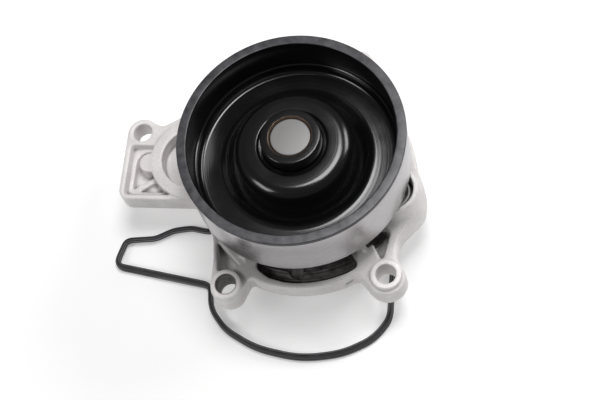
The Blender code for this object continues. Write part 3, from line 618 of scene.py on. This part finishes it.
def housingField(c, block):
    # unions and cuts of rounded plates, discs, ribs and the turned neck, each blended by its own fillet
    left, right, rearRight, rearLeft = c["lugAngles"]
    leftX, leftY = polar(c["boltCircle"], left)
    rightX, rightY = polar(c["boltCircle"], right)
    mountZ, topZ, pocketZ = c["mountZ"], c["topZ"], c["pocketZ"]
    over = topZ + 14
    solid = raised(block, outlineField(block, flangeOutline(c)), mountZ, topZ, 0.7, 0.03)

    inner, outer = c["neckFoot"] - 1, c["flangeRadius"] - c["frontWall"]
    trough = roundedLine(
        [
            (*polar(inner, left + 7), 3),
            (*polar(outer - 3.5, left + 6), 4),
            (*polar(outer - 0.6, left + 15), 12),
        ]
        + arcCorners((0, 0), outer, left + 24, right - 14)
        + [(*polar(outer - 0.3, right - 6.5), 4)]
        + arcCorners((0, 0), inner, right - 8, left + 20),
        8,
    )
    leftWindow = [
        (leftX - 6.2, leftY + 20),
        (leftX - 4.8, leftY + 7.6),
        (leftX + 2.4, leftY + 7.8),
        (leftX + 3.9, leftY + 9.9),
    ]
    rightWindow = [
        (rightX - 7.4, rightY + 14.6, 1.5),
        (rightX - 3.2, rightY + 7.2, 2.4),
        (rightX - 1.2, rightY + 8.2, 1.5),
        (rightX + 1.1, rightY + 20.2, 1.8),
        (rightX - 2.6, rightY + 22.6, 1.5),
    ]
    pockets = [
        (trough, 0.0),
        (ringSector(inner, c["grooveRadius"], right + 2.5, right + 14), 1.0),
        (ringSector(inner, c["grooveRadius"] - 2, rearRight - 52, rearRight - 14), 2.0),
        (ringSector(inner, outer - 4, rearRight + 14, rearLeft - 14), 2.0),
        (ringSector(inner, c["grooveRadius"] - 4, left - 34, left - 14), 2.0),
        (np.array(leftWindow), 1.0),
        (roundedLine(rightWindow), 0.0),
    ]
    for outline, grow in pockets:
        cutter = raised(block, outlineField(block, outline) - grow, pocketZ, over, 1.2, -0.04)
        solid = carve(solid, cutter, 0.7)

    # ribs and a shallow round seat on the trough's floor
    floorRibs = np.minimum(np.abs(block.radius - 45.2) - 0.5, np.abs(block.radius - 49.0) - 0.5)
    inTrough = outlineField(block, trough) + 0.6
    seat = discField(block, (-0.6, -44.3), 3.4)
    ribPlan = np.maximum(np.maximum(floorRibs, inTrough), -seat)
    solid = blend(solid, raised(block, ribPlan, pocketZ - 2, pocketZ + 1.9, 0.3), 0.6)
    lip = np.maximum(np.abs(seat) - 0.35, inTrough)
    solid = blend(solid, raised(block, lip, pocketZ - 2, pocketZ + 0.8, 0.3), 0.5)

    # arm: ledge, window, then boss, bump and slanting rib
    earX, earY = c["ear"]
    bossX, bossY = c["armBoss"]
    ledgeLeft, ledgeLow, ledgeHigh = earX - c["earRadius"] + 2.5, c["armLow"] + 2, earY - 6.5
    ledge = roundedLine(
        [(ledgeLeft, ledgeLow, 2), (bossX, ledgeLow, 1), (bossX, ledgeHigh, 1), (ledgeLeft, ledgeHigh, 2)]
    )
    ledgeZ, windowZ = topZ - c["ledgeDepth"], topZ - c["windowDepth"]
    solid = carve(solid, sloped(block, outlineField(block, ledge), ledgeZ, topZ, 0.5), 0.2)
    windowLeft, windowLow = ledgeLeft + 3.2, ledgeLow + 2.5
    windowHigh = bossY + 4.4
    lowSide = [(windowLeft, windowLow, 1.5), (bossX, windowLow, 1)]
    window = roundedLine(lowSide + [(bossX, windowHigh, 1), (windowLeft, windowHigh, 6)])
    solid = carve(solid, sloped(block, outlineField(block, window), windowZ, ledgeZ, 0.25), 0.2)
    bossTop = topZ + c["bossRaise"]
    bump = (bossX - c["armBossRadius"] - 0.2, bossY - 3)
    armBoss = discField(block, c["armBoss"], c["armBossRadius"])
    solid = blend(solid, raised(block, armBoss, mountZ + 1, bossTop, 0.6, 0.03), 0.9)
    armBump = discField(block, bump, c["bumpRadius"])
    solid = blend(solid, raised(block, armBump, mountZ + 1, bossTop - 0.1, 0.6, 0.03), 0.6)
    ribFrom = np.array([windowLeft + 6.7, windowLow + 4.1]) - 7 * np.array(polar(1, 34))
    ribTo = ribFrom + 14 * np.array(polar(1, 34))
    ribPlan = toLine(block, [tuple(ribFrom), tuple(ribTo)], False)[0] - 1.35
    solid = blend(solid, raised(block, ribPlan, mountZ + 1, ledgeZ - 0.3, 0.4, 0.05), 0.8)

    # bearing neck with its gussets
    neckTop = housingHigh[2]
    width = np.interp(
        block.z, [housingLow[2], mountZ, pocketZ, topZ + 4, topZ + 14, neckTop],
        [20.5, 21.0, c["neckFoot"] + 1, c["neckFoot"] - 1, c["neckRadius"] + 0.6, c["neckRadius"]],
    ).astype(np.float32)
    neck = raised(block, block.radius - width, housingLow[2], neckTop, 0.6)
    for degrees in (left - 2, right - 3, right + 20, rearRight - 5, rearLeft - 5, left - 42):
        outward = np.array(polar(1, degrees), dtype=np.float32)
        along = block.x * outward[0] + block.y * outward[1]
        across = np.abs(block.y * outward[0] - block.x * outward[1]) - 1.4
        slope = (block.z - (topZ + 15)) + (along - c["neckRadius"] + 3) * 0.52
        ends = np.maximum(along - (c["flangeRadius"] - 7), 18 - along)
        web = np.maximum(np.maximum(across, ends), slope * 0.88)
        neck = blend(neck, np.maximum(web, pocketZ - 1 - block.z), 2.0)
    solid = blend(solid, neck, 2.0)

    # lug rings and the side boss
    lugs = [polar(c["boltCircle"], degrees) for degrees in c["lugAngles"]]
    for spot in lugs:
        ring = discField(block, spot, c["lugRadius"] - 0.5)
        solid = blend(solid, raised(block, ring, mountZ + 1, c["lugZ"], 0.35), 0.8)
    sideTop = pulleyLow[2] - c["beltRoom"]
    side = discField(block, c["sideBoss"], c["sideBossRadius"])
    solid = blend(solid, raised(block, side, mountZ + 1, sideTop, 0.6, 0.06), 7.0)

    # recesses, bores, holes, groove: each with its lower and upper height, its edge and its fillet
    sideRecess = discField(block, c["sideBoss"], c["sideRecessRadius"])
    cuts = [
        (discField(block, c["armBoss"], c["armRecessRadius"]), pocketZ, over, 0.9, 0.25),
        (sideRecess, sideTop - c["sideRecessDepth"], over + 10, 0.8, 0.4),
        (block.radius - (ringHigh[0] + 0.3), ringLow[2] - 0.3, neckTop + 5, 0.1, 0.4),
        (block.radius - c["drip"], mountZ, neckTop, 0.1, 0.1),
        (block.radius - c["sealBore"], housingLow[2] - 5, mountZ + 3, 0.1, 0.4),
    ]
    for plan, low, high, edge, fillet in cuts:
        solid = carve(solid, raised(block, plan, low, high, edge), fillet)
    for spot in [*lugs, c["ear"]]:
        hole = discField(block, spot, c["holeRadius"])
        solid = carve(solid, raised(block, hole, mountZ - 5, over, 0.1), 0.15)
    step = np.abs(sideRecess + 2.0) - 0.45
    solid = blend(solid, raised(block, step, sideTop - c["sideRecessDepth"] - 1, sideTop - 3.5, 0.3), 0.3)
    chamber = np.maximum(block.radius - (c["grooveRadius"] - 4), 21.5 - block.radius)
    solid = carve(solid, raised(block, chamber, mountZ - 5, mountZ + 1.5, 0.3), 0.4)
    groove = roundedLine(
        arcCorners((0, 0), c["grooveRadius"], -168, 163)
        + [(earX - 3.1, earY - 10, 4), (earX - 3.1, c["armLow"] + 4, 4)]
    )
    grooveWall = toLine(block, groove)[0] - 1.5
    solid = carve(solid, raised(block, grooveWall, mountZ - 5, mountZ + c["grooveDepth"], 0.3), 0.3)

    # the drain slit in the front wall
    slitAt = polar(55.2, right - 14.7)
    outward = np.array(polar(1, right - 14.7), dtype=np.float32)
    along = (block.x - slitAt[0]) * outward[0] + (block.y - slitAt[1]) * outward[1]
    across = (block.y - slitAt[1]) * outward[0] - (block.x - slitAt[0]) * outward[1]
    slitPlan = np.maximum(np.abs(along) - 2.5, np.abs(across) - 1.9)
    return carve(solid, raised(block, slitPlan, pocketZ - 0.6, pocketZ + 0.6, 0.4), 0.3)


cast = castAluminium()
block = Block(housingLow - 2, housingHigh + 2, casting["cell"])
housing = fieldPiece(
    "pumpHousing", block, housingField(casting, block), cast, "housing", ["pump_housing"]
)
print("housing made with", len(housing.data.polygons), "faces")

cup = {
    "outer": pulleyHigh[0],
    "wall": 45.6,  # inside of the belt wall
    "bottom": pulleyLow[2],
    "plateau": rimZ - 6.5,
    "web": rimZ - 22.0,
    "sheet": 3.0,
    "bore": hubHigh[0],
    "segments": 288,
}


def cupCorners(c):
    outer, wall, top, web, flat, sheet = c["outer"], c["wall"], rimZ, c["web"], c["plateau"], c["sheet"]
    return [
        (wall, top, 0.7),
        (outer, top, 0.45),
        (outer, top - 1.25, 0.12),
        (outer - 0.45, top - 1.45, 0.08),
        (outer - 0.45, top - 1.95, 0.08),
        (outer - 0.12, top - 2.15, 0.08),
        (outer - 0.12, c["bottom"], 0.45),
        (wall + 0.4, c["bottom"], 0.5),
        (wall + 0.4, web - sheet - 0.3, 1.5),
        (31.4, web - sheet, 3.0),
        (28.4, web - sheet + 1.6, 2.0),
        (23.4, flat - sheet - 1.6, 3.0),
        (20.8, flat - sheet, 2.0),
        (13.6, flat - sheet, 0.2),
        (13.6, flat - 0.9, 0.2),
        (14.9, flat - 0.8, 0.5),
        (15.9, flat, 0.9),
        (24.5, flat, 12),
        (32.4, web, 5),
        (44.3, web, 5),
        (44.9, rimZ - 17.6, 0.4),
        (wall, rimZ - 17.1, 0.5),
    ]


def coatOrSteel(radius, height):
    # 0 paint, 1 rubbed paint on the rim, 2 bare ground steel on the belt wall
    onWall = (radius > cup["outer"] - 0.3) & (height < rimZ - 2.0)
    onRim = (radius > cup["wall"] + 0.3) & (height > rimZ - 0.35)
    return np.where(onWall, 2, np.where(onRim, 1, 0))


turnedPiece(
    "beltPulley", cupCorners(cup), cup["segments"], [coat, rim, beltWall],
    "rotor", ["pulley"], coatOrSteel, 8,
)
turnedPiece(
    "hubCollar",
    [
        (9.1, hubLow[2], 0.2),
        (hubHigh[0], hubLow[2], 0.4),
        (hubHigh[0], hubLow[2] + 2.6, 0.4),
        (13.3, hubLow[2] + 2.6, 0.4),
        (13.3, hubHigh[2], 0.9),
        (9.75, hubHigh[2], 0.1),
        (9.1, hubHigh[2] - 0.9, 0.1),
    ],
    192, [coat, boreEdge], "rotor", ["pulley_hub"],
    lambda radius, height: np.where((radius < 9.8) & (height > hubHigh[2] - 1.5), 1, 0), 10,
)
shaftRadius = shaftHigh[0]
ballLow, ballHigh = nodeBox("bearing_ball_1")
ballZ = ballLow[2] / 2 + ballHigh[2] / 2
turnedPiece(
    "pumpShaft",
    [
        (0, 0, 0),
        (shaftRadius, 0, 0.6),
        (shaftRadius, ballZ - 1.5, 0.1),
        (shaftRadius - 0.4, ballZ - 0.8, 0.8),
        (shaftRadius - 0.4, ballZ + 0.8, 0.8),
        (shaftRadius, ballZ + 1.5, 0.1),
        (shaftRadius, shaftHigh[2], 0.55),
        (0, shaftHigh[2], 0),
    ],
    128, [shaftSteel], "rotor", ["shaft"],
)
print("pulley, hub and shaft made")

gasketShape = {
    "width": 2.6,
    "height": 4.4,
    "corners": [
        (-89.2, -23.6, 3), (-74.7, -22.3, 7), (-66.3, -17.9, 9), (-57.5, -16.4, 9), (-48.0, -18.2, 7),
        (-37.0, -13.0, 8), (-29.0, 15.0, 20), (-12.0, 29.0, 24), (12.0, 29.0, 24), (29.5, 14.5, 24),
        (40.6, -20.0, 60), (40.7, -58.4, 12), (34.1, -68.1, 24), (20.4, -75.5, 40), (1.5, -78.8, 50),
        (-19.8, -74.8, 44), (-35.2, -66.6, 24), (-43.3, -56.6, 16), (-44.6, -45.3, 3.4), (-92.8, -36.8, 3.5),
    ],
    "stations": 640,
    "sideGroove": 0.55,
    "topGroove": 0.35,
}


def evenly(line, count):
    # the same closed line with its points an equal way apart
    closed = np.vstack([line, line[:1]])
    walked = np.concatenate([[0], np.cumsum(np.linalg.norm(np.diff(closed, axis=0), axis=1))])
    want = np.arange(count) * walked[-1] / count
    return np.stack([np.interp(want, walked, closed[:, axis]) for axis in (0, 1)], axis=-1)


def makeGasket(g):
    # section: a rounded strip with a groove in its top and in each side, carried round the path;
    # the side grooves fade to nothing where the strip is moulded plain
    path = evenly(roundedLine(g["corners"], 4), g["stations"])
    for _ in range(8):
        path = (np.roll(path, 1, axis=0) + 2 * path + np.roll(path, -1, axis=0)) / 4
    along = np.roll(path, -1, axis=0) - np.roll(path, 1, axis=0)
    along /= np.linalg.norm(along, axis=1)[:, None]
    across = np.stack([along[:, 1], -along[:, 0]], axis=-1)
    half, tall = g["width"] / 2, g["height"] / 2
    sideDepth, topDepth = g["sideGroove"], g["topGroove"]
    quarter = [(half, -0.55, 0.3), (half - sideDepth, 0, 0.35), (half, 0.55, 0.3), (half, tall, 0.55)]
    lid = [(0.42, tall, 0.25), (0, tall - topDepth, 0.3), (-0.42, tall, 0.25)]
    section = roundedLine(quarter + lid + [(-x, -y, r) for x, y, r in quarter + lid], 20)
    reach, rise = section[:, 0], section[:, 1]
    inGroove = (np.abs(rise) < 0.75) & (np.abs(reach) > half - sideDepth - 0.01)
    flat = np.where(inGroove, np.sign(reach) * half, reach)
    x, y = path[:, 0], path[:, 1]
    plain = ((x > -71) & (x < -46) & (y < -38)) | ((x > -66) & (x < -40) & (y > -22))
    plain = plain.astype(float)
    for _ in range(3):
        plain = (np.roll(plain, 1) + plain + np.roll(plain, -1)) / 3
    reach = reach[None] + plain[:, None] * (flat - reach)[None]
    points = np.empty((g["stations"], len(section), 3))
    points[..., :2] = path[:, None] + across[:, None] * reach[..., None]
    points[..., 2] = tall + rise[None]
    faces = gridQuads(g["stations"], len(section), True, True)
    middle = (section + np.roll(section, -1, axis=0)) / 2
    out, up = np.abs(middle[:, 0]), middle[:, 1]
    # the ribs and the crest take the lighter rubber, as a painted highlight
    onRib = (out > half - 0.12) & (np.abs(up) > 0.62) & (np.abs(up) < tall - 0.25)
    onCrest = (up > tall - 0.06) & (out > 0.5) & (out < 0.85)
    banded = np.broadcast_to((onRib | onCrest).astype(int), (g["stations"], len(section))).reshape(-1)
    piece = addPiece(
        "mouldedGasket", points.reshape(-1, 3), faces, [rubber, ribHighlight], "housing", ["gasket"], banded
    )
    return smoothPiece(piece, 50)


makeGasket(gasketShape)
print("gasket made")

wheel = {
    "radius": 26.0,
    "hub": 14.1,
    "bore": 11.6,
    "discLow": wheelHigh[2] - 2.2,
    "vanes": 7,
    "sweep": 48.0,  # degrees that a vane turns through on its way out
    "cell": 0.4,
}


def wheelField(w, block):
    # a disc and a hub with vanes that turn evenly with their distance from the axis
    top = wheelHigh[2]
    solid = raised(block, block.radius - w["radius"], w["discLow"], top, 0.5)
    solid = blend(solid, raised(block, block.radius - w["hub"], 0.25, top, 0.5), 0.8)
    share = np.linspace(0, 1, 9)
    radii = w["hub"] - 1 + (w["radius"] - w["hub"]) * share
    for vane in range(w["vanes"]):
        angles = np.radians(360 * vane / w["vanes"] + w["sweep"] * share)
        line = np.stack([radii * np.cos(angles), radii * np.sin(angles)], axis=-1)
        blade = raised(block, toLine(block, line, False)[0] - 0.9, 0.25, top - 1, 0.4, -0.03)
        solid = blend(solid, blade, 0.9)
    return carve(solid, raised(block, block.radius - w["bore"], -5, top + 5, 0.1), 0.4)


block = Block(wheelLow - 2, wheelHigh + 2, wheel["cell"])
fieldPiece(
    "impellerWheel", block, wheelField(wheel, block), wheelPlastic, "rotor", ["impeller"]
)


def ringPiece(name, node, material, body, inner, fillet=0.25):
    # a plain ring that fills a CAD node's box, with a bore and softened edges
    low, high = nodeBox(node)
    plan = [(inner, low[2]), (high[0], low[2]), (high[0], high[2]), (inner, high[2])]
    turnedPiece(name, [(*corner, fillet) for corner in plan], 96, [material], body, [node])


ringPiece("wheelInsert", "impeller_insert", brass, "rotor", 9.1)
ringPiece("frontLipSeal", "front_bearing_seal", rubber, "housing", 9.1)
ringPiece("rearLipSeal", "rear_bearing_seal", rubber, "housing", 9.1)
ringPiece("slingerDisc", "shaft_slinger", springSteel, "rotor", 9.1, 0.2)
ringPiece("carbonRing", "seal_carbon_ring", carbon, "housing", 10.5)
ringPiece("matingRing", "seal_mating_ring", ceramic, "rotor", 9.9)
raceRadius = 14.6
turnedPiece(
    "bearingRing",
    [
        (raceRadius, ringLow[2], 0.3),
        (ringHigh[0], ringLow[2], 0.6),
        (ringHigh[0], ringHigh[2], 0.6),
        (raceRadius, ringHigh[2], 0.3),
        (raceRadius, ballZ + 1.6, 0.1),
        (raceRadius + 0.4, ballZ + 0.8, 0.8),
        (raceRadius + 0.4, ballZ - 0.8, 0.8),
        (raceRadius, ballZ - 1.6, 0.1),
    ],
    144, [polished], "housing", ["bearing_outer_ring"],
)


def roundPiece(name, node, material, body, crown):
    # latitude circles: cos and sin of the latitude, raised to the crown; 1 is a ball, and less is a roller
    low, high = nodeBox(node)
    centre, size = (low + high) / 2, (high - low) / 2
    latitude = np.linspace(-np.pi / 2, np.pi / 2, 17)[:, None]
    turn = 2 * np.pi * np.arange(28)[None, :] / 28
    radius = size[2] if crown == 1 else min(size[0], size[1])
    around = np.abs(np.cos(latitude)) ** crown * radius
    height = np.sign(np.sin(latitude)) * np.abs(np.sin(latitude)) ** crown * size[2]
    x, y = centre[0] + around * np.cos(turn), centre[1] + around * np.sin(turn)
    points = np.stack(np.broadcast_arrays(x, y, centre[2] + height), axis=-1).reshape(-1, 3)
    faces = gridQuads(17, 28, False, True)[:, ::-1]
    piece = addPiece(name, points, faces, [material], body, [node])
    closePoles(piece)
    smoothPiece(piece, 60)


for number in range(1, 10):
    roundPiece(f"ball{number}", f"bearing_ball_{number}", polished, "ball_row", 1)
for number in range(1, 11):
    roundPiece(f"roller{number}", f"bearing_roller_{number}", polished, "roller_row", 0.18)

carried = {
    "ball_cage": cagePlastic,
    "roller_cage": cagePlastic,
    "seal_case": brass,
    "seal_bellows": rubber,
    "seal_spring": springSteel,
    "seal_ring_boot": rubber,
}
for node, material in carried.items():
    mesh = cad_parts[node].data
    mesh.materials.clear()
    mesh.materials.append(material)
print("inner pieces made")

studio = {
    "floor": (0.8, 0.8, 0.8),
    "world": (1.0, 1.0, 1.0),
    "lights": {  # place and size in metres, power in watts
        "topBox": ((0.12, 0.26, 1.05), (0.42, 0.42), 6.9),
        "keyBox": ((0.66, 0.48, 0.60), (0.4, 0.3), 3.4),
        "fillBox": ((-0.60, -0.38, 0.72), (0.38, 0.28), 2.2),
    },
    "lightsFace": (0, 0, 0.04),
    "worldStrength": 0.15,
    "floorGlow": 0.28,
    "camera": (94.4, -225.5, 452.05),  # from the middle of the pulley's rim, in millimetres
    "right": (0.9846, 0.0871, -0.1524),
    "up": (-0.0191, 0.9162, 0.4004),
    "lens": 72,
}


def makeStage(s):
    mesh = bpy.data.meshes.new("floor")
    reach = 3.0
    corners = [(-reach, -reach, 0), (reach, -reach, 0), (reach, reach, 0), (-reach, reach, 0)]
    mesh.from_pydata(corners, [], [(0, 1, 2, 3)])
    floor = bpy.data.objects.new("floor", mesh)
    bpy.context.scene.collection.objects.link(floor)
    material, shader = newMaterial(
        "floor", Base_Color=(*s["floor"], 1), Roughness=0.9, Specular_IOR_Level=0.0,
        Emission_Color=(1, 1, 1, 1), Emission_Strength=s["floorGlow"],
    )
    mesh.materials.append(material)
    world = bpy.data.worlds.new("studio")
    world.use_nodes = True
    world.node_tree.nodes["Background"].inputs["Color"].default_value = (*s["world"], 1)
    world.node_tree.nodes["Background"].inputs["Strength"].default_value = s["worldStrength"]
    bpy.context.scene.world = world
    bpy.context.scene.view_settings.view_transform = "Standard"


def addLight(name, place, target, size, power):
    # a rectangular soft box at place, facing target
    data = bpy.data.lights.new(name, "AREA")
    data.shape = "RECTANGLE"
    data.size, data.size_y = size
    data.energy = power
    light = bpy.data.objects.new(name, data)
    light.location = place
    light.rotation_euler = (Vector(target) - Vector(place)).to_track_quat("-Z", "Y").to_euler()
    bpy.context.scene.collection.objects.link(light)


def addCamera(s):
    data = bpy.data.cameras.new("camera")
    data.lens = s["lens"]
    data.sensor_width = 36
    data.clip_start = 0.01
    camera = bpy.data.objects.new("camera", data)
    right, up = Vector(s["right"]).normalized(), Vector(s["up"]).normalized()
    away = right.cross(up).normalized()
    up = away.cross(right)
    place = Vector(s["camera"]) * mm + Vector((0, 0, rimZ * mm))
    camera.matrix_world = Matrix.Translation(place) @ Matrix((right, up, away)).transposed().to_4x4()
    bpy.context.scene.collection.objects.link(camera)
    bpy.context.scene.camera = camera


makeStage(studio)
for name, (place, size, power) in studio["lights"].items():
    addLight(name, place, studio["lightsFace"], size, power)
addCamera(studio)
